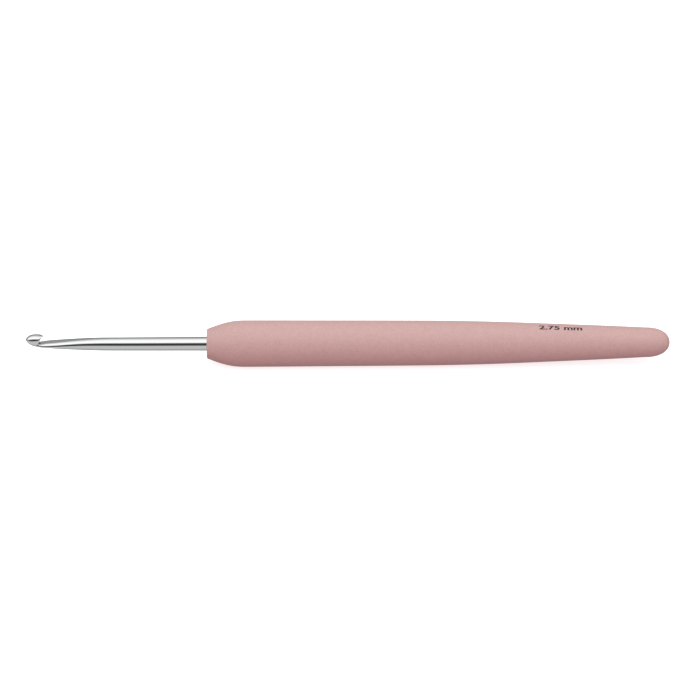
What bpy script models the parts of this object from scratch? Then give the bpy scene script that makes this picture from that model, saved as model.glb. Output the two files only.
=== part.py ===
"""A small crochet hook with a moulded soft handle, lying along X with its mouth facing up.

The hook's tip points to -X and the handle's rounded end to +X. The origin is under the middle of
the whole hook, on the surface that the handle rests on.
"""
import math

import bmesh
import bpy

MM = 0.001

# Driving dimensions, in millimetres.
OVERALL_LENGTH = 132.0
HANDLE_LENGTH = 94.9
HANDLE_RADIUS = 4.775
SHANK_RADIUS = 1.375
FRONT_FACE_RADIUS = 2.85
FRONT_CORNER_LENGTH = 0.3
CORNER_STEPS = 3
FIT_GAP = 0.05
SEGMENTS = 40

AXIS_HEIGHT = HANDLE_RADIUS
TIP_X = -OVERALL_LENGTH / 2
HANDLE_X = OVERALL_LENGTH / 2 - HANDLE_LENGTH

# Handle outline behind the front corner: distance from the front face, radius.
HANDLE_STATIONS = [
    (0.3, 3.13), (1.6, 3.63), (3.4, 4.2), (5.2, 4.59), (6.8, 4.75), (9.0, HANDLE_RADIUS),
    (22.0, 4.72), (40.0, 4.64), (50.0, 4.55), (60.0, 4.31), (72.0, 3.85), (82.0, 3.44), (90.0, 3.06),
]
END_CAP_START = 90.0
END_CAP_POWER = 2.2
END_CAP_RINGS = 8

# Head before its back is cut away. Distances are from the tip, heights from the shank's axis.
# The outlines here are drawn in to a point at the nose and at the lip by the two end lengths.
HEAD_LENGTH = 3.5
NOSE_LENGTH = 1.6
NOSE_POWER = 2.0
NOSE_HEIGHT = 1.1
LIP_LENGTH = 0.95
LIP_POWER = 1.6
LIP_HEIGHT = 1.89
SHOULDER_POWER = 0.8
HEAD_TOP = [
    (0.0, 2.0), (0.47, 2.11), (0.85, 2.13), (1.63, 2.19), (2.04, 2.2), (2.8, 2.17), (3.5, 2.15),
]
HEAD_BOTTOM = [
    (0.0, 0.56), (0.26, 0.48), (0.43, 0.23), (0.67, 0.08), (1.04, -0.04), (1.63, -0.26),
    (2.04, -0.44), (2.45, -0.57), (3.5, -0.75),
]
HEAD_WIDEST = [
    (0.0, 0.8), (0.5, 0.77), (1.0, 0.83), (1.6, 0.91), (2.1, 1.0), (2.5, 1.12), (3.5, 1.65),
]
HEAD_HALF_WIDTH = [(0.0, 1.15), (1.6, 1.17), (2.3, 1.17), (2.8, 1.14), (3.5, 1.0)]
HEAD_RINGS = 18

# Back of the head seen from the side, from above the lip to the throat and on to the underside.
BACK_OUTLINE = [
    (3.76, 2.1), (3.44, 1.9), (3.18, 1.74), (3.02, 1.62), (2.95, 1.52), (2.92, 1.38), (2.85, 1.2),
    (2.72, 1.0), (2.5, 0.72), (2.3, 0.42), (2.18, 0.12), (2.1, -0.2), (2.05, -0.5),
]
CUTTER_HALF_WIDTH = 2.0
CUTTER_REACH = 4.6
CUTTER_TOP = 2.9
CUTTER_BOTTOM = -1.4

# Neck and shank, from inside the head to the handle, by distance from the tip. The neck is flat on
# top, over this half width, and its sides turn down with two radii; the shank behind it is round.
NECK_START = 2.0
NECK_FLAT = [
    (2.0, 0.24), (3.0, 0.39), (4.0, 0.45), (5.4, 0.47), (6.9, 0.43), (11.0, 0.25), (15.0, 0.08),
    (20.0, 0.0), (24.0, 0.0),
]
NECK_UPPER_RADIUS = [
    (2.0, 0.42), (3.0, 0.58), (4.0, 0.68), (5.4, 0.76), (6.9, 0.83), (11.0, 1.03), (15.0, 1.26),
    (20.0, 1.362), (24.0, 1.376), (37.1, 1.42),
]
NECK_LOWER_RADIUS = [
    (2.0, 0.27), (3.0, 0.29), (4.0, 0.34), (5.4, 0.5), (6.9, 0.69), (11.0, 1.12), (15.0, 1.33),
    (20.0, 1.362), (24.0, 1.376), (37.1, 1.42),
]
NECK_TOP = [
    (2.0, 0.33), (3.0, 0.38), (4.0, 0.51), (5.4, 0.63), (6.9, 0.76), (11.0, 1.1), (15.0, 1.315),
    (20.0, 1.362), (24.0, 1.376), (37.1, 1.42),
]
NECK_PLACES = [2.0, 2.5, 3.0, 3.5, 4.0, 4.7, 5.4, 6.9, 8.5, 11.0, 13.0, 15.0, 17.5, 20.0, 24.0, 30.0]
UPPER_TURN = math.radians(29)
LOWER_TURN = math.radians(-60)
TURN_STEPS = 24
SHANK_BACK_RADIUS = 1.42

# Hidden tang, as distances from the handle's front face.
COLLAR_LENGTH = 2.3
TANG_GROOVES = [8.0, 14.0, 20.0, 26.0]
TANG_GROOVE_WIDTH = 1.5
TANG_GROOVE_DEPTH = 0.2
KEY_START = 35.9
KEY_HALF_THICKNESS = 0.95
KEY_RADIUS = 1.355
TANG_END = 40.6
TANG_CHAMFER = 0.3

# Adhesive between the tang and the core.
ADHESIVE_WALL = 0.15
ADHESIVE_START = 2.8
ADHESIVE_END = 35.9

# Rigid core and the soft sleeve moulded over it.
SLEEVE_WALL = 1.4
CORE_START = 2.2
CORE_END = 92.2
KEY_POCKET_START = 36.0
CORE_GROOVES = [18.0, 46.0, 74.0]
CORE_GROOVE_WIDTH = 3.0
CORE_GROOVE_DEPTH = 0.4
GROOVE_WALL_SLOPE = 0.2


def clear_scene():
    for item in list(bpy.data.objects):
        bpy.data.objects.remove(item, do_unlink=True)


def make_material(name, colour, roughness, metallic):
    material = bpy.data.materials.new(name)
    material.use_nodes = True
    shader = material.node_tree.nodes["Principled BSDF"]
    shader.inputs["Base Color"].default_value = (*colour, 1.0)
    shader.inputs["Roughness"].default_value = roughness
    shader.inputs["Metallic"].default_value = metallic
    return material


def curve_value(stations, place):
    """Height of a smooth curve through the stations, held level beyond either end."""
    if place <= stations[0][0]:
        return stations[0][1]
    if place >= stations[-1][0]:
        return stations[-1][1]
    slopes = []
    for index in range(len(stations)):
        before = stations[max(index - 1, 0)]
        after = stations[min(index + 1, len(stations) - 1)]
        slopes.append((after[1] - before[1]) / (after[0] - before[0]))
    for index in range(len(stations) - 1):
        x0, y0 = stations[index]
        x1, y1 = stations[index + 1]
        if place <= x1:
            break
    span = x1 - x0
    t = (place - x0) / span
    return (
        (2 * t**3 - 3 * t**2 + 1) * y0
        + (t**3 - 2 * t**2 + t) * span * slopes[index]
        + (-2 * t**3 + 3 * t**2) * y1
        + (t**3 - t**2) * span * slopes[index + 1]
    )


def round_ring(x, radius, flat=None):
    """Points of a circle round the shank's axis, cut level above and below when it has flats."""
    points = []
    for step in range(SEGMENTS):
        angle = 2 * math.pi * step / SEGMENTS
        height = radius * math.cos(angle)
        if flat is not None:
            height = max(-flat, min(flat, height))
        points.append((x, radius * math.sin(angle), AXIS_HEIGHT + height))
    return points


def egg_ring(x, top, bottom, widest, half_width):
    """Points of a section with fuller shoulders above its widest line than below it."""
    points = []
    for step in range(SEGMENTS):
        angle = 2 * math.pi * step / SEGMENTS
        height = widest + (widest - bottom) * math.cos(angle)
        if math.cos(angle) > 0:
            height = widest + (top - widest) * math.cos(angle) ** SHOULDER_POWER
        points.append((x, half_width * math.sin(angle), AXIS_HEIGHT + height))
    return points


def centre_point(x, height=0.0):
    return [(x, 0.0, AXIS_HEIGHT + height)]


def skin(name, rings, material, closed=False):
    """One closed solid through a row of rings; a ring of one point closes that end."""
    mesh = bpy.data.meshes.new(name)
    work = bmesh.new()
    loops = []
    for ring in rings:
        loops.append([work.verts.new([value * MM for value in point]) for point in ring])
    pairs = list(zip(loops, loops[1:]))
    if closed:
        pairs.append((loops[-1], loops[0]))
    for first, second in pairs:
        for step in range(SEGMENTS):
            after = (step + 1) % SEGMENTS
            if len(first) == 1:
                work.faces.new((first[0], second[after], second[step]))
            elif len(second) == 1:
                work.faces.new((first[step], first[after], second[0]))
            else:
                work.faces.new((first[step], first[after], second[after], second[step]))
    bmesh.ops.recalc_face_normals(work, faces=work.faces)
    work.to_mesh(mesh)
    work.free()
    mesh.materials.append(material)
    mesh.shade_smooth()
    mesh.set_sharp_from_angle(angle=math.radians(35))
    item = bpy.data.objects.new(name, mesh)
    bpy.context.collection.objects.link(item)
    return item


def hide_guide(item):
    item.hide_render = True
    item.display_type = "WIRE"


def handle_radius(place):
    """Outer radius of the handle, by distance behind its front face."""
    radius = curve_value(HANDLE_STATIONS, place)
    if place > END_CAP_START:
        reach = min((place - END_CAP_START) / (HANDLE_LENGTH - END_CAP_START), 1.0)
        radius *= (1 - reach**END_CAP_POWER) ** (1 / END_CAP_POWER)
    return radius


def core_radius(place):
    """Outer radius of the rigid core, with its keying grooves."""
    radius = handle_radius(place) - SLEEVE_WALL
    for groove in CORE_GROOVES:
        if abs(place - groove) < CORE_GROOVE_WIDTH / 2:
            radius -= CORE_GROOVE_DEPTH
    return radius


def core_places():
    """Distances behind the front face where the core's outline has a ring."""
    places = [CORE_START, 4.2, 6.5, 10.0, 32.0, 60.0, 82.0, 88.0, 90.5, 91.6]
    for groove in CORE_GROOVES:
        half = CORE_GROOVE_WIDTH / 2
        for edge in (groove - half, groove + half):
            places += [edge - GROOVE_WALL_SLOPE / 2, edge + GROOVE_WALL_SLOPE / 2]
    return sorted(places)


def handle_places():
    """Distances behind the front face where the sleeve's outside has a ring."""
    shoulder = [0.9, 1.6, 2.5, 3.4, 4.3, 5.2, 6.0, 6.8, 7.8, 9.0]
    barrel = [15.0, 22.0, 31.0, 40.0, 45.0, 50.0, 55.0, 60.0, 66.0, 72.0, 77.0, 82.0, 86.0, 90.0]
    cap = []
    for step in range(1, END_CAP_RINGS):
        turn = math.pi / 2 * step / END_CAP_RINGS
        cap.append(END_CAP_START + (HANDLE_LENGTH - END_CAP_START) * math.sin(turn))
    return shoulder + barrel + cap


def make_grip_sleeve(material):
    """Soft skin moulded round the core: up its inside from the back, then down its outside."""
    hole_radius = SHANK_BACK_RADIUS + FIT_GAP
    inner_end = HANDLE_X + CORE_END + FIT_GAP
    inner_front = HANDLE_X + CORE_START - FIT_GAP
    rings = [centre_point(inner_end), round_ring(inner_end, core_radius(CORE_END) + FIT_GAP)]
    for place in reversed(core_places()):
        rings.append(round_ring(HANDLE_X + place, core_radius(place) + FIT_GAP))
    rings.append(round_ring(inner_front, core_radius(CORE_START) + FIT_GAP))
    rings.append(round_ring(inner_front, hole_radius))
    rings.append(round_ring(HANDLE_X, hole_radius))
    rings.append(round_ring(HANDLE_X, FRONT_FACE_RADIUS))
    for step in range(1, CORNER_STEPS + 1):
        turn = math.pi / 2 * step / CORNER_STEPS
        place = FRONT_CORNER_LENGTH * (1 - math.cos(turn))
        rise = (handle_radius(FRONT_CORNER_LENGTH) - FRONT_FACE_RADIUS) * math.sin(turn)
        rings.append(round_ring(HANDLE_X + place, FRONT_FACE_RADIUS + rise))
    for place in handle_places():
        rings.append(round_ring(HANDLE_X + place, handle_radius(place)))
    rings.append(centre_point(HANDLE_X + HANDLE_LENGTH))
    return skin("grip_sleeve", rings, material)


def make_handle_core(material):
    bore_radius = SHANK_RADIUS + 2 * FIT_GAP + ADHESIVE_WALL
    pocket_radius = SHANK_RADIUS + FIT_GAP
    pocket_flat = KEY_HALF_THICKNESS + FIT_GAP
    pocket_end = HANDLE_X + TANG_END + FIT_GAP
    rings = [centre_point(HANDLE_X + CORE_END)]
    rings.append(round_ring(HANDLE_X + CORE_END, core_radius(CORE_END)))
    for place in reversed(core_places()):
        rings.append(round_ring(HANDLE_X + place, core_radius(place)))
    rings.append(round_ring(HANDLE_X + CORE_START, bore_radius))
    rings.append(round_ring(HANDLE_X + KEY_POCKET_START, bore_radius))
    rings.append(round_ring(HANDLE_X + KEY_POCKET_START, pocket_radius, pocket_flat))
    rings.append(round_ring(pocket_end, pocket_radius, pocket_flat))
    rings.append(centre_point(pocket_end))
    return skin("handle_core", rings, material)


def make_tang_adhesive(material):
    inner = SHANK_RADIUS + FIT_GAP
    outer = inner + ADHESIVE_WALL
    start = HANDLE_X + ADHESIVE_START
    end = HANDLE_X + ADHESIVE_END
    rings = [round_ring(start, outer), round_ring(end, outer), round_ring(end, inner)]
    rings.append(round_ring(start, inner))
    return skin("tang_adhesive", rings, material, closed=True)


def neck_outline(place):
    """Half of the neck's section, from the middle of its flat top down to the middle below."""
    flat = curve_value(NECK_FLAT, place)
    upper = curve_value(NECK_UPPER_RADIUS, place)
    lower = curve_value(NECK_LOWER_RADIUS, place)
    turned = math.cos(UPPER_TURN)
    under = (flat + turned * upper - (turned - math.cos(LOWER_TURN)) * lower) / math.cos(LOWER_TURN)
    y = flat
    z = curve_value(NECK_TOP, place)
    line = [(0.0, z), (y, z)]
    arcs = [(upper, math.pi / 2, UPPER_TURN), (lower, UPPER_TURN, LOWER_TURN)]
    arcs.append((under, LOWER_TURN, -math.pi / 2))
    for radius, start, end in arcs:
        for step in range(1, TURN_STEPS + 1):
            turn = start + (end - start) * step / TURN_STEPS
            across = y + radius * (math.cos(turn) - math.cos(start))
            line.append((across, z + radius * (math.sin(turn) - math.sin(start))))
        y, z = line[-1]
    return line


def evened(line, count):
    """Points at equal steps along a line, with both of its ends."""
    lengths = [0.0]
    for before, after in zip(line, line[1:]):
        lengths.append(lengths[-1] + math.dist(before, after))
    points = []
    index = 0
    for step in range(count):
        reach = lengths[-1] * step / (count - 1)
        while index < len(line) - 2 and lengths[index + 1] < reach:
            index += 1
        share = (reach - lengths[index]) / max(lengths[index + 1] - lengths[index], 1e-9)
        share = min(share, 1.0)
        before, after = line[index], line[index + 1]
        across = before[0] + (after[0] - before[0]) * share
        points.append((across, before[1] + (after[1] - before[1]) * share))
    return points


def neck_ring(place):
    """Section of the neck or shank, by distance from the tip, the same on both sides."""
    half = evened(neck_outline(place), SEGMENTS // 2 + 1)
    half[0] = (0.0, half[0][1])
    half[-1] = (0.0, half[-1][1])
    points = [(TIP_X + place, y, AXIS_HEIGHT + z) for y, z in half]
    points += [(TIP_X + place, -y, AXIS_HEIGHT + z) for y, z in reversed(half[1:-1])]
    return points


def make_neck_guide(material):
    """Neck, shank and tang as one closed solid, starting inside the head."""
    rings = [centre_point(TIP_X + NECK_START)]
    for place in NECK_PLACES:
        rings.append(neck_ring(place))
    rings.append(round_ring(HANDLE_X, SHANK_BACK_RADIUS))
    rings.append(round_ring(HANDLE_X + COLLAR_LENGTH, SHANK_BACK_RADIUS))
    rings.append(round_ring(HANDLE_X + COLLAR_LENGTH, SHANK_RADIUS))
    for groove in TANG_GROOVES:
        half = TANG_GROOVE_WIDTH / 2
        floor = SHANK_RADIUS - TANG_GROOVE_DEPTH
        rings.append(round_ring(HANDLE_X + groove - half, SHANK_RADIUS))
        rings.append(round_ring(HANDLE_X + groove - half + TANG_GROOVE_DEPTH, floor))
        rings.append(round_ring(HANDLE_X + groove + half - TANG_GROOVE_DEPTH, floor))
        rings.append(round_ring(HANDLE_X + groove + half, SHANK_RADIUS))
    rings.append(round_ring(HANDLE_X + KEY_START - TANG_CHAMFER, SHANK_RADIUS))
    rings.append(round_ring(HANDLE_X + KEY_START, KEY_RADIUS, KEY_HALF_THICKNESS))
    rings.append(round_ring(HANDLE_X + TANG_END - TANG_CHAMFER, KEY_RADIUS, KEY_HALF_THICKNESS))
    end_flat = KEY_HALF_THICKNESS - TANG_CHAMFER
    rings.append(round_ring(HANDLE_X + TANG_END, KEY_RADIUS - TANG_CHAMFER, end_flat))
    rings.append(centre_point(HANDLE_X + TANG_END))
    guide = skin("neck_guide", rings, material)
    hide_guide(guide)
    return guide


def make_head(material):
    """The whole head before its back is cut away: an egg with its long end at the nose."""
    rings = [centre_point(TIP_X, NOSE_HEIGHT)]
    for step in range(1, HEAD_RINGS):
        turn = math.pi * step / HEAD_RINGS
        rings.append(head_ring(HEAD_LENGTH / 2 * (1 - math.cos(turn))))
    rings.append(centre_point(TIP_X + HEAD_LENGTH, LIP_HEIGHT))
    return skin("hook_shaft", rings, material)


def head_ring(place):
    """Section of the head, drawn in towards the nose or the lip near its ends."""
    nose_away = max(0.0, 1 - place / NOSE_LENGTH)
    lip_away = max(0.0, 1 - (HEAD_LENGTH - place) / LIP_LENGTH)
    shrink = (1 - nose_away**NOSE_POWER) ** (1 / NOSE_POWER)
    pole = NOSE_HEIGHT
    if lip_away > 0:
        shrink = (1 - lip_away**LIP_POWER) ** (1 / LIP_POWER)
        pole = LIP_HEIGHT
    top = pole + (curve_value(HEAD_TOP, place) - pole) * shrink
    bottom = pole + (curve_value(HEAD_BOTTOM, place) - pole) * shrink
    widest = pole + (curve_value(HEAD_WIDEST, place) - pole) * shrink
    half_width = curve_value(HEAD_HALF_WIDTH, place) * shrink
    return egg_ring(TIP_X + place, top, bottom, widest, half_width)


def make_back_cutter(material):
    """Prism across the head that shapes its back: mouth, throat and slanted cheeks."""
    outline = [(CUTTER_REACH, CUTTER_TOP), *BACK_OUTLINE]
    outline += [(BACK_OUTLINE[-1][0], CUTTER_BOTTOM), (CUTTER_REACH, CUTTER_BOTTOM)]
    mesh = bpy.data.meshes.new("back_cutter")
    work = bmesh.new()
    corners = []
    for x, z in outline:
        place = (TIP_X + x, -CUTTER_HALF_WIDTH, AXIS_HEIGHT + z)
        corners.append(work.verts.new([value * MM for value in place]))
    face = work.faces.new(corners)
    pushed = bmesh.ops.extrude_face_region(work, geom=[face])
    moved = [item for item in pushed["geom"] if isinstance(item, bmesh.types.BMVert)]
    bmesh.ops.translate(work, verts=moved, vec=(0, 2 * CUTTER_HALF_WIDTH * MM, 0))
    bmesh.ops.recalc_face_normals(work, faces=work.faces)
    work.to_mesh(mesh)
    work.free()
    mesh.materials.append(material)
    cutter = bpy.data.objects.new("back_cutter", mesh)
    bpy.context.collection.objects.link(cutter)
    hide_guide(cutter)
    return cutter


def add_boolean(item, operation, other):
    step = item.modifiers.new(operation.lower(), "BOOLEAN")
    step.operation = operation
    step.object = other
    step.solver = "EXACT"


def make_hook_shaft(material):
    head = make_head(material)
    add_boolean(head, "DIFFERENCE", make_back_cutter(material))
    add_boolean(head, "UNION", make_neck_guide(material))
    return head


def main():
    clear_scene()
    make_hook_shaft(make_material("polished_aluminium", (0.78, 0.78, 0.79), 0.18, 1.0))
    make_tang_adhesive(make_material("cured_adhesive", (0.72, 0.66, 0.50), 0.35, 0.0))
    make_handle_core(make_material("rigid_plastic", (0.62, 0.40, 0.38), 0.45, 0.0))
    make_grip_sleeve(make_material("soft_touch_rubber", (0.62, 0.40, 0.38), 0.62, 0.0))


main()
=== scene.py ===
"""The looks of the crochet hook: polished metal hook, soft-touch handle and its printed size."""

import math

import bmesh
import bpy
import numpy as np
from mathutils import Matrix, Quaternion, Vector


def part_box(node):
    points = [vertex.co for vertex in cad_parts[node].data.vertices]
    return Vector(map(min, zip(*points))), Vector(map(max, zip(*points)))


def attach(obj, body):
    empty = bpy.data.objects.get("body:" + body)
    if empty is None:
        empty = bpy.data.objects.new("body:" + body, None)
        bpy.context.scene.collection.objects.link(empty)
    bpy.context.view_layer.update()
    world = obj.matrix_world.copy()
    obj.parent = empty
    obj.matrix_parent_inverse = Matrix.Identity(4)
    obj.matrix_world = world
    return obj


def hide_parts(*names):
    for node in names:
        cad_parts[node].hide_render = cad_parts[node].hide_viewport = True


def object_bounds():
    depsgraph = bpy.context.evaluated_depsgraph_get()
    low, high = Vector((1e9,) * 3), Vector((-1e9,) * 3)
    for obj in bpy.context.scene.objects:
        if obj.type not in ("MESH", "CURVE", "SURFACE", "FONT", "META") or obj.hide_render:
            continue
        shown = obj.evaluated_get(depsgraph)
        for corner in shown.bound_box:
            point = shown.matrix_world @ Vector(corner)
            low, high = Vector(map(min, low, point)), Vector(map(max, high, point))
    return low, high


MM = 0.001

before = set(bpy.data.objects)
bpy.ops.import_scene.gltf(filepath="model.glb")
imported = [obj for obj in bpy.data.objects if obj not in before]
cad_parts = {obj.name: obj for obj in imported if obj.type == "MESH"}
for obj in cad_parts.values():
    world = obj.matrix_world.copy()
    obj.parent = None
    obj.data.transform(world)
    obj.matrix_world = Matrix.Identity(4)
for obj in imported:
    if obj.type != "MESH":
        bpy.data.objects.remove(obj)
CAD_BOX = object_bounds()
SHAFT_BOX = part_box("hook_shaft")
HANDLE_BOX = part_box("grip_sleeve")
CORE_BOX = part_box("handle_core")

# Places taken from the frame, in millimetres.
TIP_X = SHAFT_BOX[0].x / MM
TANG_X = SHAFT_BOX[1].x / MM
HANDLE_X = HANDLE_BOX[0].x / MM
HANDLE_LENGTH = HANDLE_BOX[1].x / MM - HANDLE_X
AXIS_HEIGHT = (HANDLE_BOX[0].z + HANDLE_BOX[1].z) / 2 / MM
HANDLE_RADIUS = (HANDLE_BOX[1].z - HANDLE_BOX[0].z) / 2 / MM
EXPOSED_LENGTH = HANDLE_X - TIP_X

# Handle, as distance behind the front face and radius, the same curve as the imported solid.
HANDLE_STATIONS = [
    (0.3, 3.13), (1.6, 3.63), (3.4, 4.2), (5.2, 4.59), (6.8, 4.75), (9.0, HANDLE_RADIUS),
    (22.0, 4.72), (40.0, 4.64), (50.0, 4.55), (60.0, 4.31), (72.0, 3.85), (82.0, 3.44),
    (90.0, 3.06),
]
FRONT_FACE_RADIUS = 2.85
FRONT_CORNER_LENGTH = 0.3
END_CAP_START = 90.0
END_CAP_POWER = 2.2
HANDLE_SEGMENTS = 144
FRONT_FACE_STEPS = 5
CORNER_STEPS = 8
BARREL_STEPS = 180
BARREL_CROWDING = 1.3
END_CAP_STEPS = 40

# Inside of the handle's skin: its thickness, the gap round the core and the front hole's edge.
SKIN_WALL = 1.35
FIT_GAP = 0.05
HOLE_EDGE = 0.06
HOLE_BEVEL = 0.015
INSIDE_RINGS = 40

# Head of the hook, as distance from the tip and height above the shank's axis.
HEAD_LENGTH = 3.58
NOSE_LENGTH = 1.6
NOSE_POWER = 2.0
NOSE_HEIGHT = 1.1
LIP_LENGTH = 1.15
LIP_POWER = 1.6
LIP_HEIGHT = 1.89
SHOULDER_POWER = 0.8
HEAD_TOP = [
    (0.0, 2.0), (0.47, 2.11), (0.85, 2.13), (1.63, 2.19), (2.04, 2.2), (2.8, 2.17), (3.5, 2.15),
]
HEAD_BOTTOM = [
    (0.0, 0.56), (0.26, 0.48), (0.43, 0.23), (0.67, 0.08), (1.04, -0.04), (1.63, -0.26),
    (2.04, -0.44), (2.45, -0.57), (3.5, -0.75),
]
HEAD_WIDEST = [
    (0.0, 0.8), (0.5, 0.77), (1.0, 0.83), (1.6, 0.91), (2.1, 1.0), (2.5, 1.12), (3.5, 1.65),
]
HEAD_HALF_WIDTH = [(0.0, 1.15), (1.6, 1.17), (2.3, 1.17), (2.8, 1.14), (3.5, 1.0)]

# Back of the head seen from the side, as height above the axis and distance from the tip.
BACK_OUTLINE = [
    (-0.50, 2.05), (-0.20, 2.10), (0.12, 2.18), (0.42, 2.30), (0.72, 2.50), (1.00, 2.72),
    (1.20, 2.85), (1.38, 2.92), (1.52, 2.96), (1.62, 3.05), (1.74, 3.23), (1.90, 3.53),
    (2.10, 3.86),
]
RIM_ROUNDING = 0.035
ROOT_ROUNDING = 0.10
RIM_SEARCH_START = 1.2
ROOT_SEARCH_START = 2.4
NECK_JOIN = 5.0
OUTSIDE_STEPS = 80
BACK_STEPS = 40
LINE_POINTS = 300

# Neck and shank: half width of the flat on top, upper and lower radius of the side, and height.
NECK_FLAT = [
    (2.0, 0.24), (3.0, 0.40), (4.0, 0.49), (5.4, 0.50), (6.9, 0.45), (11.0, 0.25), (15.0, 0.08),
    (20.0, 0.0), (24.0, 0.0),
]
NECK_UPPER = [
    (2.0, 0.42), (3.0, 0.60), (4.0, 0.70), (5.4, 0.78), (6.9, 0.85), (11.0, 1.03), (15.0, 1.26),
    (20.0, 1.362), (24.0, 1.376), (37.1, 1.42),
]
NECK_LOWER = [
    (2.0, 0.27), (3.0, 0.25), (4.0, 0.27), (5.4, 0.43), (6.9, 0.64), (11.0, 1.12), (15.0, 1.33),
    (20.0, 1.362), (24.0, 1.376), (37.1, 1.42),
]
NECK_TOP = [
    (2.0, 0.33), (3.0, 0.38), (4.0, 0.48), (5.4, 0.61), (6.9, 0.75), (11.0, 1.1), (15.0, 1.315),
    (20.0, 1.362), (24.0, 1.376), (37.1, 1.42),
]
UPPER_TURN = math.radians(22)
LOWER_TURN = math.radians(-60)
SHANK_BACK_RADIUS = 1.42
COLLAR_LENGTH = 2.3
SHANK_RADIUS = 1.375
SHANK_START = 15.0
NECK_ROWS = 70
SHANK_ROWS = 60
TANG_CHAMFER = 0.3
TANG_KEY_RADIUS = 0.94
TANG_END_RADIUS = 0.65
ARC_STEPS = 48
SHAFT_SEGMENTS = 160
SHARP_EDGE = math.radians(50)

# Size mark printed on the handle, by its middle's distance behind the front face and its turn from
# the side that faces -Y. It stands for the gauge of the shank.
MARK_TEXT = "2.75 mm"
MARK_PLACE = 72.4
MARK_TURN = math.radians(81.2)
MARK_WIDTH = 8.84
MARK_HEIGHT = 1.3
MARK_WEIGHT = 0.026
MARK_STRIPS = 16
MARK_THICKNESS = 0.014
MARK_SUNK = 0.004

# Camera: how far it looks down, its lens and the width that it takes in at the hook.
CAMERA_RISE = math.radians(30.0)
CAMERA_LENS = 200.0
CAMERA_SENSOR = 36.0
VIEW_WIDTH = 141.6
VIEW_OFFSET_X = -0.6
VIEW_OFFSET_Z = -0.42
CAMERA_ROLL = math.radians(0.2)


def curve_value(stations, place):
    """Height of a smooth curve through the stations, held level beyond either end."""
    if place <= stations[0][0]:
        return stations[0][1]
    if place >= stations[-1][0]:
        return stations[-1][1]
    slopes = []
    for index in range(len(stations)):
        before = stations[max(index - 1, 0)]
        after = stations[min(index + 1, len(stations) - 1)]
        slopes.append((after[1] - before[1]) / (after[0] - before[0]))
    for index in range(len(stations) - 1):
        x0, y0 = stations[index]
        x1, y1 = stations[index + 1]
        if place <= x1:
            break
    span = x1 - x0
    t = (place - x0) / span
    return (
        (2 * t**3 - 3 * t**2 + 1) * y0
        + (t**3 - 2 * t**2 + t) * span * slopes[index]
        + (-2 * t**3 + 3 * t**2) * y1
        + (t**3 - t**2) * span * slopes[index + 1]
    )


def skin(name, rows):
    """One closed mesh through rows of points in millimetres; a row of one point closes an end."""
    points = []
    starts = []
    for row in rows:
        starts.append(len(points))
        points.extend([value * MM for value in point] for point in row)
    faces = []
    for index in range(len(rows) - 1):
        first = rows[index]
        second = rows[index + 1]
        count = max(len(first), len(second))
        for step in range(count):
            after = (step + 1) % count
            a = starts[index] + step
            b = starts[index] + after
            c = starts[index + 1] + after
            d = starts[index + 1] + step
            if len(first) == 1:
                faces.append((starts[index], c, d))
            elif len(second) == 1:
                faces.append((a, b, starts[index + 1]))
            else:
                faces.append((a, b, c, d))
    mesh = bpy.data.meshes.new(name)
    mesh.from_pydata(points, [], faces)
    work = bmesh.new()
    work.from_mesh(mesh)
    bmesh.ops.recalc_face_normals(work, faces=work.faces)
    work.to_mesh(mesh)
    work.free()
    mesh.shade_smooth()
    mesh.set_sharp_from_angle(angle=SHARP_EDGE)
    piece = bpy.data.objects.new(name, mesh)
    bpy.context.scene.collection.objects.link(piece)
    return piece


def round_row(x, radius, segments):
    row = []
    for step in range(segments):
        angle = 2 * math.pi * step / segments
        row.append((x, radius * math.sin(angle), AXIS_HEIGHT + radius * math.cos(angle)))
    return row


def handle_radius(place):
    """Outer radius of the handle, by distance behind its front face."""
    radius = curve_value(HANDLE_STATIONS, place)
    if place > END_CAP_START:
        reach = min((place - END_CAP_START) / (HANDLE_LENGTH - END_CAP_START), 1.0)
        radius *= (1 - reach**END_CAP_POWER) ** (1 / END_CAP_POWER)
    return radius


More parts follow.
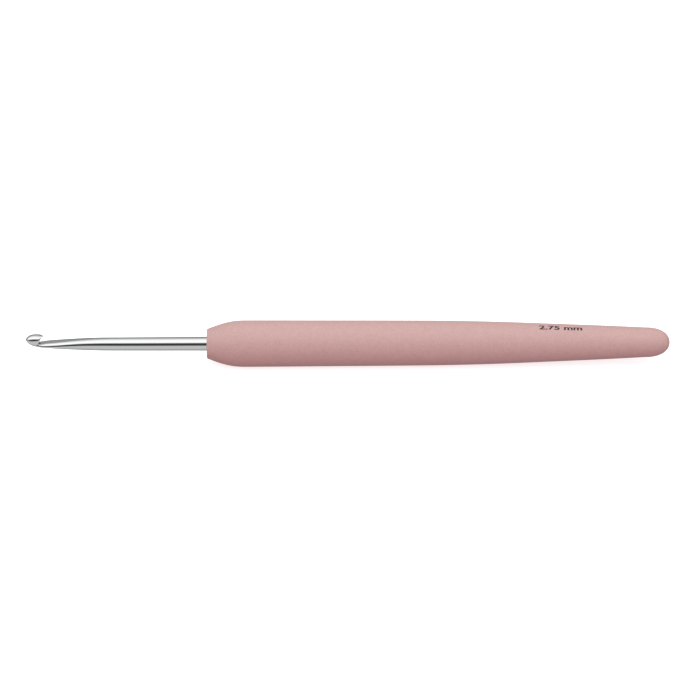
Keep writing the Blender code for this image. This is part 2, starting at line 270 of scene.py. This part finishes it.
def make_grip():
    """Outer skin of the handle as a closed shell: hollow inside, open only round the shank."""
    hole = SHANK_BACK_RADIUS + FIT_GAP
    core_front = CORE_BOX[0].x / MM - HANDLE_X - FIT_GAP
    core_end = CORE_BOX[1].x / MM - HANDLE_X + FIT_GAP
    outline = []
    for step in range(INSIDE_RINGS):
        place = core_end + (core_front - core_end) * step / (INSIDE_RINGS - 1)
        outline.append((place, handle_radius(place) - SKIN_WALL))
    outline.append((core_front, hole))
    outline.append((HOLE_EDGE, hole))
    outline.append((HOLE_BEVEL, hole + HOLE_BEVEL))
    for step in range(FRONT_FACE_STEPS + 1):
        rim = hole + HOLE_EDGE
        outline.append((0.0, rim + (FRONT_FACE_RADIUS - rim) * step / FRONT_FACE_STEPS))
    rise = handle_radius(FRONT_CORNER_LENGTH) - FRONT_FACE_RADIUS
    for step in range(1, CORNER_STEPS + 1):
        turn = math.pi / 2 * step / CORNER_STEPS
        place = FRONT_CORNER_LENGTH * (1 - math.cos(turn))
        outline.append((place, FRONT_FACE_RADIUS + rise * math.sin(turn)))
    for step in range(1, BARREL_STEPS + 1):
        reach = (step / BARREL_STEPS) ** BARREL_CROWDING
        place = FRONT_CORNER_LENGTH + (END_CAP_START - FRONT_CORNER_LENGTH) * reach
        outline.append((place, handle_radius(place)))
    for step in range(1, END_CAP_STEPS):
        turn = math.pi / 2 * step / END_CAP_STEPS
        place = END_CAP_START + (HANDLE_LENGTH - END_CAP_START) * math.sin(turn)
        outline.append((place, handle_radius(place)))
    rows = [[(HANDLE_X + core_end, 0.0, AXIS_HEIGHT)]]
    rows += [round_row(HANDLE_X + place, radius, HANDLE_SEGMENTS) for place, radius in outline]
    rows.append([(HANDLE_X + HANDLE_LENGTH, 0.0, AXIS_HEIGHT)])
    return skin("soft_grip", rows)


def egg_point(x, top, bottom, widest, half_width, angle):
    """A point of a section with fuller shoulders above its widest line than below it."""
    height = widest + (widest - bottom) * math.cos(angle)
    if math.cos(angle) > 0:
        height = widest + (top - widest) * math.cos(angle) ** SHOULDER_POWER
    return np.array((x, half_width * math.sin(angle), height))


def head_point(place, angle):
    """A point of the whole head, before its back is shaped."""
    nose_away = max(0.0, 1 - place / NOSE_LENGTH)
    lip_away = min(1.0, max(0.0, 1 - (HEAD_LENGTH - place) / LIP_LENGTH))
    shrink = (1 - nose_away**NOSE_POWER) ** (1 / NOSE_POWER)
    pole = NOSE_HEIGHT
    if lip_away > 0:
        shrink = (1 - lip_away**LIP_POWER) ** (1 / LIP_POWER)
        pole = LIP_HEIGHT
    top = pole + (curve_value(HEAD_TOP, place) - pole) * shrink
    bottom = pole + (curve_value(HEAD_BOTTOM, place) - pole) * shrink
    widest = pole + (curve_value(HEAD_WIDEST, place) - pole) * shrink
    half_width = curve_value(HEAD_HALF_WIDTH, place) * shrink
    return egg_point(place, top, bottom, widest, half_width, angle)


def neck_half(place):
    """Right half of the neck's or shank's section, from top to bottom in equal steps."""
    flat = curve_value(NECK_FLAT, place)
    upper = curve_value(NECK_UPPER, place)
    lower = curve_value(NECK_LOWER, place)
    turned, leaving = math.cos(UPPER_TURN), math.cos(LOWER_TURN)
    under = (flat + turned * upper - (turned - leaving) * lower) / leaving
    y, z = flat, curve_value(NECK_TOP, place)
    line = [(0.0, z), (y, z)]
    arcs = [(upper, math.pi / 2, UPPER_TURN), (lower, UPPER_TURN, LOWER_TURN)]
    arcs.append((under, LOWER_TURN, -math.pi / 2))
    for radius, start, end in arcs:
        for step in range(1, ARC_STEPS + 1):
            turn = start + (end - start) * step / ARC_STEPS
            line.append((
                y + radius * (math.cos(turn) - math.cos(start)),
                z + radius * (math.sin(turn) - math.sin(start)),
            ))
        y, z = line[-1]
    line = np.array(line)
    along = np.concatenate([[0.0], np.cumsum(np.linalg.norm(np.diff(line, axis=0), axis=1))])
    even = np.linspace(0.0, along[-1], SHAFT_SEGMENTS // 2 + 1)
    return np.stack([np.interp(even, along, line[:, axis]) for axis in range(2)], axis=1)


def back_place(height):
    """How far from the tip the head's back lies, at a height above the shank's axis."""
    return curve_value(BACK_OUTLINE, height)


def rim_point(angle):
    """Where the head's outer surface meets the back on this line of the head."""
    low, high = RIM_SEARCH_START, HEAD_LENGTH - 0.001
    for _ in range(30):
        middle = (low + high) / 2
        point = head_point(middle, angle)
        if point[0] < back_place(point[2]):
            low = middle
        else:
            high = middle
    return head_point(low, angle)


def evened(points, count):
    """The same line with its points at equal steps."""
    points = np.array(points)
    along = np.concatenate([[0.0], np.cumsum(np.linalg.norm(np.diff(points, axis=0), axis=1))])
    even = np.linspace(0.0, along[-1], count)
    return np.stack([np.interp(even, along, points[:, axis]) for axis in range(3)], axis=1), along


def softened(points, spacing, reach):
    """The same line with its corners rounded over a short reach."""
    half = max(1, int(3 * reach / spacing))
    weights = np.exp(-0.5 * (np.arange(-half, half + 1) * spacing / reach) ** 2)
    weights /= weights.sum()
    padded = np.concatenate([
        2 * points[0] - points[half:0:-1], points, 2 * points[-1] - points[-2:-half - 2:-1],
    ])
    columns = [np.convolve(padded[:, axis], weights, mode="valid") for axis in range(3)]
    return np.stack(columns, axis=1)


def meridian(index, head_angle):
    """One line over the head from its nose, round the rim, down the back and along the neck."""
    edge = rim_point(head_angle)
    outside = []
    for step in range(OUTSIDE_STEPS + 1):
        turn = math.pi / 2 * step / OUTSIDE_STEPS
        outside.append(head_point(edge[0] * (1 - math.cos(turn)), head_angle))
    root_place = ROOT_SEARCH_START
    for _ in range(40):
        y, z = neck_half(root_place)[index]
        root_place = (root_place + back_place(z)) / 2
    back = []
    for step in range(1, BACK_STEPS + 1):
        part = step / BACK_STEPS
        height = edge[2] + (z - edge[2]) * part
        back.append((back_place(height), edge[1] + (y - edge[1]) * part, height))
    neck = []
    for step in range(1, BACK_STEPS + 1):
        place = root_place + (NECK_JOIN - root_place) * step / BACK_STEPS
        neck.append((place, *neck_half(place)[index]))
    line, along = evened(outside + back + neck, LINE_POINTS)
    spacing = along[-1] / (LINE_POINTS - 1)
    rim_at = along[len(outside) - 1]
    root_at = along[len(outside) + len(back) - 1]
    places = np.linspace(0.0, along[-1], LINE_POINTS)
    root_share = np.clip((places - rim_at) / max(root_at - rim_at, 0.02), 0.0, 1.0)[:, None]
    crisp = softened(line, spacing, RIM_ROUNDING)
    full = softened(line, spacing, ROOT_ROUNDING)
    return crisp * (1 - root_share) + full * root_share


def head_angles():
    """Lines of the head that cross its rim at equal steps, from the lip to the underside."""
    turns = np.linspace(0.0, math.pi, 241)
    rims = np.array([rim_point(turn) for turn in turns])
    along = np.concatenate([[0.0], np.cumsum(np.linalg.norm(np.diff(rims, axis=0), axis=1))])
    even = np.linspace(0.0, along[-1], SHAFT_SEGMENTS // 2 + 1)
    return [float(turn) for turn in np.interp(even, along, turns)]


def full_row(half):
    """A closed row of points from one half and its mirror image."""
    row = [(TIP_X + x, y, AXIS_HEIGHT + z) for x, y, z in half]
    for x, y, z in half[-2:0:-1]:
        row.append((TIP_X + x, -y, AXIS_HEIGHT + z))
    return row


def make_hook():
    """Head, throat, neck, shank and hidden tang in one closed mesh."""
    lines = [meridian(index, angle) for index, angle in enumerate(head_angles())]
    for line in (lines[0], lines[-1]):
        line[:, 1] = 0.0
    rows = [[(TIP_X, 0.0, AXIS_HEIGHT + NOSE_HEIGHT)]]
    for index in range(1, len(lines[0])):
        rows.append(full_row([line[index] for line in lines]))
    neck_places = np.linspace(NECK_JOIN, SHANK_START, NECK_ROWS)[1:]
    shank_places = np.linspace(SHANK_START, EXPOSED_LENGTH, SHANK_ROWS)[1:]
    for place in np.concatenate([neck_places, shank_places]):
        rows.append(full_row([(place, y, z) for y, z in neck_half(place)]))
    rows.append(round_row(HANDLE_X + COLLAR_LENGTH, SHANK_BACK_RADIUS, SHAFT_SEGMENTS))
    rows.append(round_row(HANDLE_X + COLLAR_LENGTH, SHANK_RADIUS, SHAFT_SEGMENTS))
    rows.append(round_row(TANG_X - TANG_CHAMFER, TANG_KEY_RADIUS, SHAFT_SEGMENTS))
    rows.append(round_row(TANG_X, TANG_END_RADIUS, SHAFT_SEGMENTS))
    rows.append([(TANG_X, 0.0, AXIS_HEIGHT)])
    return skin("hook_metal", rows)


def make_size_mark():
    """The printed gauge figure: thin letters of ink wrapped round the handle."""
    data = bpy.data.curves.new("size_text", "FONT")
    data.body = MARK_TEXT
    data.align_x = "CENTER"
    data.resolution_u = 4
    data.offset = MARK_WEIGHT
    text = bpy.data.objects.new("size_text", data)
    bpy.context.scene.collection.objects.link(text)
    bpy.context.view_layer.update()
    mesh = bpy.data.meshes.new_from_object(text)
    bpy.data.objects.remove(text, do_unlink=True)
    work = bmesh.new()
    work.from_mesh(mesh)
    corners = np.array([vertex.co[:2] for vertex in work.verts])
    low, high = corners.min(axis=0), corners.max(axis=0)
    for vertex in work.verts:
        vertex.co.x = (vertex.co.x - (low[0] + high[0]) / 2) * MARK_WIDTH / (high[0] - low[0])
        vertex.co.y = (vertex.co.y - (low[1] + high[1]) / 2) * MARK_HEIGHT / (high[1] - low[1])
        vertex.co.z = 0.0
    bmesh.ops.remove_doubles(work, verts=work.verts, dist=0.0005)
    for strip in range(1, MARK_STRIPS):
        height = MARK_HEIGHT * (strip / MARK_STRIPS - 0.5)
        everything = [*work.verts, *work.edges, *work.faces]
        bmesh.ops.bisect_plane(
            work, geom=everything, dist=0.0001, plane_co=(0, height, 0), plane_no=(0, 1, 0)
        )
    raised = bmesh.ops.extrude_face_region(work, geom=list(work.faces), use_keep_orig=True)
    for item in raised["geom"]:
        if isinstance(item, bmesh.types.BMVert):
            item.co.z = MARK_THICKNESS
    for vertex in work.verts:
        along, up, lift = vertex.co
        surface = handle_radius(MARK_PLACE + along)
        turn = MARK_TURN + up / surface
        radius = surface - MARK_SUNK + lift
        across = -radius * math.cos(turn)
        height = AXIS_HEIGHT + radius * math.sin(turn)
        vertex.co = Vector((HANDLE_X + MARK_PLACE + along, across, height)) * MM
    bmesh.ops.recalc_face_normals(work, faces=work.faces)
    work.to_mesh(mesh)
    work.free()
    mesh.materials.clear()
    mark = bpy.data.objects.new("size_mark", mesh)
    bpy.context.scene.collection.objects.link(mark)
    return mark


# Most of a noise pattern's values lie between these two.
NOISE_LOW = 0.3
NOISE_HIGH = 0.7
BLOTCH_SHARE = 0.24
GLOSS_SPREAD = 0.06
RUBBER_DARK = (0.518, 0.327, 0.310)
RUBBER_LIGHT = (0.606, 0.388, 0.368)
INK_DARK = (0.012, 0.012, 0.013)
INK_LIGHT = (0.03, 0.03, 0.032)
PLASTIC_DARK = (0.58, 0.37, 0.35)
PLASTIC_LIGHT = (0.66, 0.43, 0.41)
ADHESIVE_DARK = (0.66, 0.60, 0.44)
ADHESIVE_LIGHT = (0.78, 0.72, 0.56)


def new_material(name):
    material = bpy.data.materials.new(name)
    material.use_nodes = True
    return material, material.node_tree.nodes, material.node_tree.links


def noise(nodes, links, scale, detail=2.0, stretch=None):
    """Noise over the surface; scale is in features per metre, stretch is by axis."""
    place = nodes.new("ShaderNodeTexCoord")
    texture = nodes.new("ShaderNodeTexNoise")
    texture.inputs["Scale"].default_value = scale
    texture.inputs["Detail"].default_value = detail
    source = place.outputs["Object"]
    if stretch is not None:
        mapping = nodes.new("ShaderNodeMapping")
        mapping.inputs["Scale"].default_value = stretch
        links.new(source, mapping.inputs["Vector"])
        source = mapping.outputs["Vector"]
    links.new(source, texture.inputs["Vector"])
    return texture.outputs["Fac"]


def ranged(nodes, links, source, low, high, to_low, to_high):
    """The same pattern with its values spread over another range."""
    step = nodes.new("ShaderNodeMapRange")
    step.inputs["From Min"].default_value = low
    step.inputs["From Max"].default_value = high
    step.inputs["To Min"].default_value = to_low
    step.inputs["To Max"].default_value = to_high
    links.new(source, step.inputs["Value"])
    return step.outputs["Result"]


def summed(nodes, links, first, second):
    step = nodes.new("ShaderNodeMath")
    step.operation = "ADD"
    links.new(first, step.inputs[0])
    links.new(second, step.inputs[1])
    return step.outputs[0]


def two_colours(nodes, links, source, dark, light):
    ramp = nodes.new("ShaderNodeValToRGB")
    ramp.color_ramp.elements[0].color = (*dark, 1)
    ramp.color_ramp.elements[1].color = (*light, 1)
    links.new(source, ramp.inputs[0])
    return ramp.outputs[0]


def bump(nodes, links, source, height_mm, shader):
    step = nodes.new("ShaderNodeBump")
    step.inputs["Distance"].default_value = height_mm * MM
    links.new(source, step.inputs["Height"])
    links.new(step.outputs["Normal"], shader.inputs["Normal"])


def metal_material():
    """Polished aluminium: fine drawing lines along the rod and a few tiny nicks."""
    material, nodes, links = new_material("polished_aluminium")
    shader = nodes["Principled BSDF"]
    shader.inputs["Base Color"].default_value = (0.91, 0.912, 0.92, 1)
    shader.inputs["Metallic"].default_value = 1.0
    lines = noise(nodes, links, 1.0, stretch=(250, 9000, 9000))
    nicks = ranged(nodes, links, noise(nodes, links, 3800, 1.0), 0.73, 0.78, 0.0, 1.0)
    gloss = ranged(nodes, links, lines, NOISE_LOW, NOISE_HIGH, 0.085, 0.125)
    spots = ranged(nodes, links, nicks, 0.0, 1.0, 0.0, 0.10)
    links.new(summed(nodes, links, gloss, spots), shader.inputs["Roughness"])
    ridges = ranged(nodes, links, lines, NOISE_LOW, NOISE_HIGH, 0.0, 0.12)
    relief = summed(nodes, links, ridges, nicks)
    bump(nodes, links, relief, 0.0014, shader)
    return material


def rubber_material():
    """Soft-touch rubber: matt dusty pink with a fine grain and faint mottling."""
    material, nodes, links = new_material("soft_touch_rubber")
    shader = nodes["Principled BSDF"]
    grain = noise(nodes, links, 2700, 3.0)
    blotches = noise(nodes, links, 800, 2.0)
    fine = ranged(nodes, links, grain, NOISE_LOW, NOISE_HIGH, 0.0, 1 - BLOTCH_SHARE)
    broad = ranged(nodes, links, blotches, NOISE_LOW, NOISE_HIGH, 0.0, BLOTCH_SHARE)
    mixed = summed(nodes, links, fine, broad)
    colour = two_colours(nodes, links, mixed, RUBBER_DARK, RUBBER_LIGHT)
    links.new(colour, shader.inputs["Base Color"])
    links.new(ranged(nodes, links, mixed, 0.0, 1.0, 0.66, 0.56), shader.inputs["Roughness"])
    shader.inputs["Specular IOR Level"].default_value = 0.4
    shader.inputs["Sheen Weight"].default_value = 0.12
    shader.inputs["Sheen Roughness"].default_value = 0.5
    bump(nodes, links, noise(nodes, links, 6500, 2.0), 0.012, shader)
    return material


def plain_material(name, dark, light, roughness, scale):
    """A material whose colour and gloss vary a little over the surface."""
    material, nodes, links = new_material(name)
    shader = nodes["Principled BSDF"]
    pattern = noise(nodes, links, scale, 3.0)
    links.new(two_colours(nodes, links, pattern, dark, light), shader.inputs["Base Color"])
    low, high = roughness - GLOSS_SPREAD, roughness + GLOSS_SPREAD
    gloss = ranged(nodes, links, pattern, NOISE_LOW, NOISE_HIGH, low, high)
    links.new(gloss, shader.inputs["Roughness"])
    return material


FLOOR_HALF_SIZE = 4.0


def make_floor():
    """A white floor, clear from below, that neither lights the object nor shows in its metal."""
    mesh = bpy.data.meshes.new("floor")
    reach = FLOOR_HALF_SIZE
    corners = [(-reach, -reach, 0), (reach, -reach, 0), (reach, reach, 0), (-reach, reach, 0)]
    mesh.from_pydata(corners, [], [(0, 1, 2, 3)])
    floor = bpy.data.objects.new("floor", mesh)
    bpy.context.scene.collection.objects.link(floor)
    floor.location.z = CAD_BOX[0].z
    floor.visible_glossy = False
    floor.visible_diffuse = False
    floor.visible_shadow = False
    material, nodes, links = new_material("floor_white")
    shader = nodes["Principled BSDF"]
    shader.inputs["Base Color"].default_value = (0.7, 0.7, 0.7, 1)
    shader.inputs["Roughness"].default_value = 1.0
    shader.inputs["Specular IOR Level"].default_value = 0.0
    shader.inputs["Emission Color"].default_value = (1, 1, 1, 1)
    shader.inputs["Emission Strength"].default_value = 0.7
    side = nodes.new("ShaderNodeNewGeometry")
    clear = nodes.new("ShaderNodeBsdfTransparent")
    either = nodes.new("ShaderNodeMixShader")
    links.new(side.outputs["Backfacing"], either.inputs["Fac"])
    links.new(shader.outputs["BSDF"], either.inputs[1])
    links.new(clear.outputs["BSDF"], either.inputs[2])
    links.new(either.outputs[0], nodes["Material Output"].inputs["Surface"])
    mesh.materials.append(material)


# Studio light as angle and strength. The angle is in degrees, up from the line along which the
# first camera looks at the object.
MIRRORED_LIGHT = [
    (-180, 0.10), (-150, 0.22), (-125, 0.36), (-100, 0.50), (-75, 0.56), (-50, 0.56), (-37, 0.50),
    (-28, 0.05), (4, 0.03), (14, 0.60), (22, 1.08), (50, 1.10), (66, 1.00), (82, 0.80),
    (98, 0.56), (114, 0.38), (130, 0.20), (150, 0.12), (180, 0.10),
]
SOFT_LIGHT = [
    (-180, (0.20, 0.13, 0.16)), (-125, (0.24, 0.16, 0.20)), (-105, (0.54, 0.38, 0.42)),
    (-75, (0.68, 0.50, 0.525)),
    (-10, (0.60, 0.44, 0.465)), (14, (1.50, 1.56, 1.55)), (70, (1.50, 1.56, 1.55)),
    (96, (0.60, 0.48, 0.50)), (180, (0.40, 0.32, 0.33)),
]
LIGHT_SCALE = 2.0


def light_ramp(nodes, stops):
    ramp = nodes.new("ShaderNodeValToRGB")
    elements = ramp.color_ramp.elements
    while len(elements) < len(stops):
        elements.new(0.5)
    for element, (degrees, light) in zip(elements, stops):
        red, green, blue = light if isinstance(light, tuple) else (light, light, light)
        element.position = (degrees + 180) / 360
        element.color = (red / LIGHT_SCALE, green / LIGHT_SCALE, blue / LIGHT_SCALE, 1)
    return ramp


def make_studio():
    """Soft light all round: one law for what polished metal mirrors, one for matt surfaces.

    What is seen directly behind the object is plain white.
    """
    world = bpy.data.worlds.new("studio")
    bpy.context.scene.world = world
    world.use_nodes = True
    nodes = world.node_tree.nodes
    links = world.node_tree.links
    background = nodes["Background"]
    place = nodes.new("ShaderNodeTexCoord")
    split = nodes.new("ShaderNodeSeparateXYZ")
    links.new(place.outputs["Generated"], split.inputs[0])
    forward = nodes.new("ShaderNodeMath")
    forward.operation = "MULTIPLY"
    forward.inputs[1].default_value = -1.0
    links.new(split.outputs["Y"], forward.inputs[0])
    angle = nodes.new("ShaderNodeMath")
    angle.operation = "ARCTAN2"
    links.new(split.outputs["Z"], angle.inputs[0])
    links.new(forward.outputs[0], angle.inputs[1])
    turn = nodes.new("ShaderNodeMath")
    turn.operation = "MULTIPLY_ADD"
    turn.inputs[1].default_value = 1 / (2 * math.pi)
    turn.inputs[2].default_value = 1.5 - CAMERA_RISE / (2 * math.pi)
    links.new(angle.outputs[0], turn.inputs[0])
    wrap = nodes.new("ShaderNodeMath")
    wrap.operation = "FRACT"
    links.new(turn.outputs[0], wrap.inputs[0])
    mirrored = light_ramp(nodes, MIRRORED_LIGHT)
    soft = light_ramp(nodes, SOFT_LIGHT)
    links.new(wrap.outputs[0], mirrored.inputs[0])
    links.new(wrap.outputs[0], soft.inputs[0])
    path = nodes.new("ShaderNodeLightPath")
    choice = nodes.new("ShaderNodeMix")
    choice.data_type = "RGBA"
    links.new(path.outputs["Is Glossy Ray"], choice.inputs["Factor"])
    links.new(soft.outputs[0], choice.inputs["A"])
    links.new(mirrored.outputs[0], choice.inputs["B"])
    seen = nodes.new("ShaderNodeMix")
    seen.data_type = "RGBA"
    seen.inputs["B"].default_value = (1 / LIGHT_SCALE, 1 / LIGHT_SCALE, 1 / LIGHT_SCALE, 1)
    links.new(path.outputs["Is Camera Ray"], seen.inputs["Factor"])
    links.new(choice.outputs["Result"], seen.inputs["A"])
    links.new(seen.outputs["Result"], background.inputs["Color"])
    background.inputs["Strength"].default_value = LIGHT_SCALE


def make_camera():
    data = bpy.data.cameras.new("camera")
    data.lens = CAMERA_LENS
    data.sensor_width = CAMERA_SENSOR
    data.clip_start = 0.01
    data.clip_end = 20.0
    camera = bpy.data.objects.new("camera", data)
    bpy.context.scene.collection.objects.link(camera)
    bpy.context.scene.camera = camera
    distance = VIEW_WIDTH * MM * CAMERA_LENS / CAMERA_SENSOR
    aim = Vector((VIEW_OFFSET_X * MM, 0, (AXIS_HEIGHT + VIEW_OFFSET_Z) * MM))
    back = Vector((0, -math.cos(CAMERA_RISE), math.sin(CAMERA_RISE)))
    camera.location = aim + back * distance
    camera.rotation_mode = "QUATERNION"
    turn = (-back).to_track_quat("-Z", "Y")
    camera.rotation_quaternion = turn @ Quaternion((0, 0, 1), -CAMERA_ROLL)


grip = make_grip()
grip.data.materials.append(rubber_material())
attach(grip, "root")
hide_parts("grip_sleeve")

hook = make_hook()
hook.data.materials.append(metal_material())
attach(hook, "root")
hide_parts("hook_shaft")

mark = make_size_mark()
mark.data.materials.append(plain_material("printed_ink", INK_DARK, INK_LIGHT, 0.5, 9000))
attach(mark, "root")

plastic = plain_material("rigid_plastic", PLASTIC_DARK, PLASTIC_LIGHT, 0.45, 900)
adhesive = plain_material("cured_adhesive", ADHESIVE_DARK, ADHESIVE_LIGHT, 0.35, 1500)
for node, material in (("handle_core", plastic), ("tang_adhesive", adhesive)):
    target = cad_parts[node]
    target.data.materials.clear()
    target.data.materials.append(material)

make_floor()
make_studio()
make_camera()
bpy.context.scene.view_settings.view_transform = "Standard"
